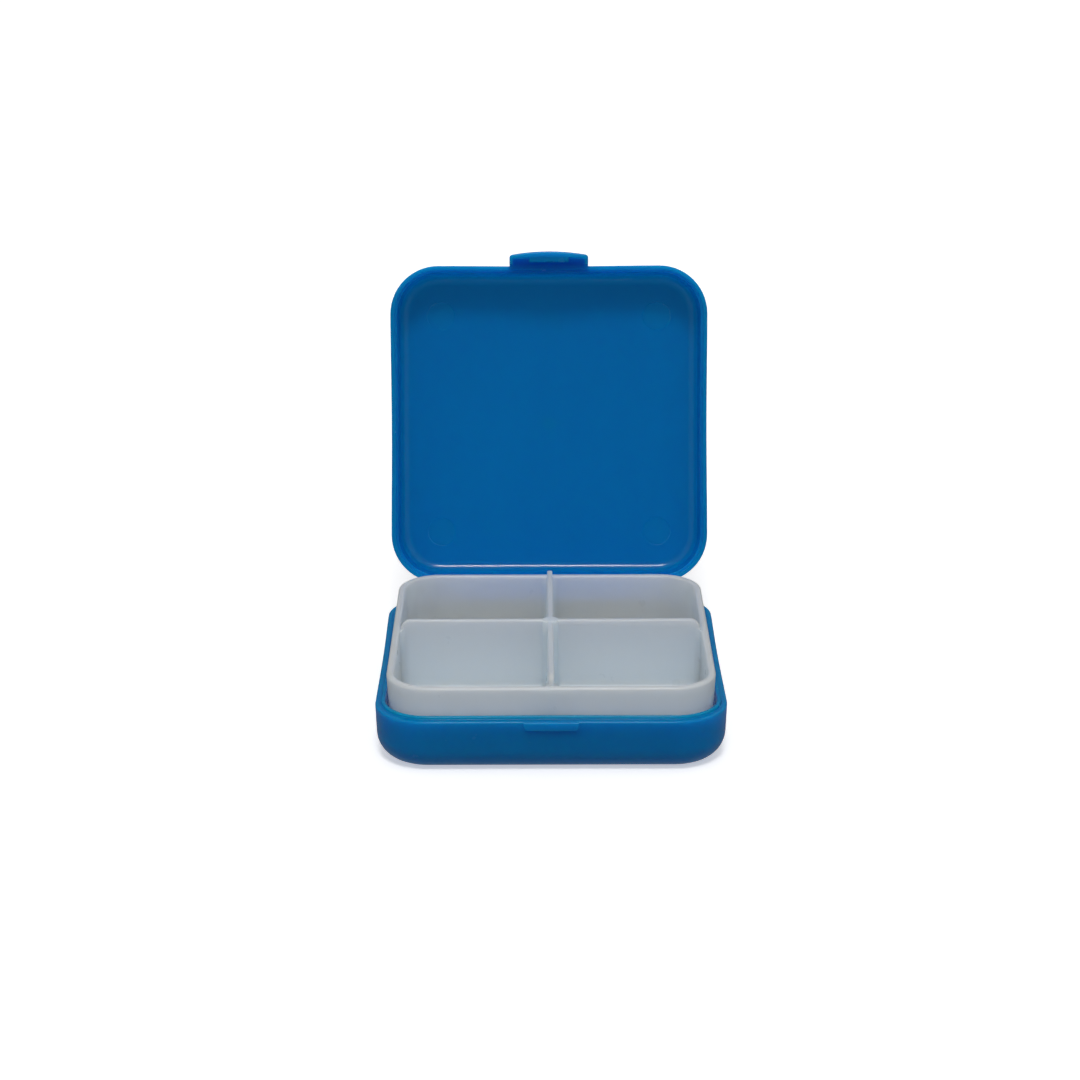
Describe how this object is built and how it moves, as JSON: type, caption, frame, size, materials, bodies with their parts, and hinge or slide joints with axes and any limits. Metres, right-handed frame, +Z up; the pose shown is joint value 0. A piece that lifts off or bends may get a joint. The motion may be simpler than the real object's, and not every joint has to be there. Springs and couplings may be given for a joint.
{
  "type": "pill box",
  "caption": "Pocket pill box: a square hinged case with rounded corners, standing open, with a lift-out compartment tray and a snap tab on the lid.",
  "frame": {"origin": "centre of the base's underside, on the surface that the box stands on", "axes": "+X to the right, -Y towards the user and the catch, +Y towards the hinge, +Z up; the lid stands open at rest"},
  "size_m": [0.066, 0.0963, 0.0794],
  "materials": {
    "case_plastic": "glossy, slightly translucent blue polypropylene",
    "tray_plastic": "satin, milky white polypropylene"
  },
  "bodies": {
    "base": {"base_shell": "case_plastic"},
    "lid": {"lid_shell": "case_plastic"},
    "tray": {"compartment_tray": "tray_plastic"}
  },
  "joints": [
    {"name": "lid_hinge", "type": "hinge", "parent": "base", "child": "lid", "pos_m": [0, 0.03515, 0.0104], "axis": [1, 0, 0], "range_deg": [0, 106]},
    {"name": "tray_lift", "type": "slide", "parent": "base", "child": "tray", "axis": [0, 0, 1], "range_m": [0, 0.035]}
  ]
}
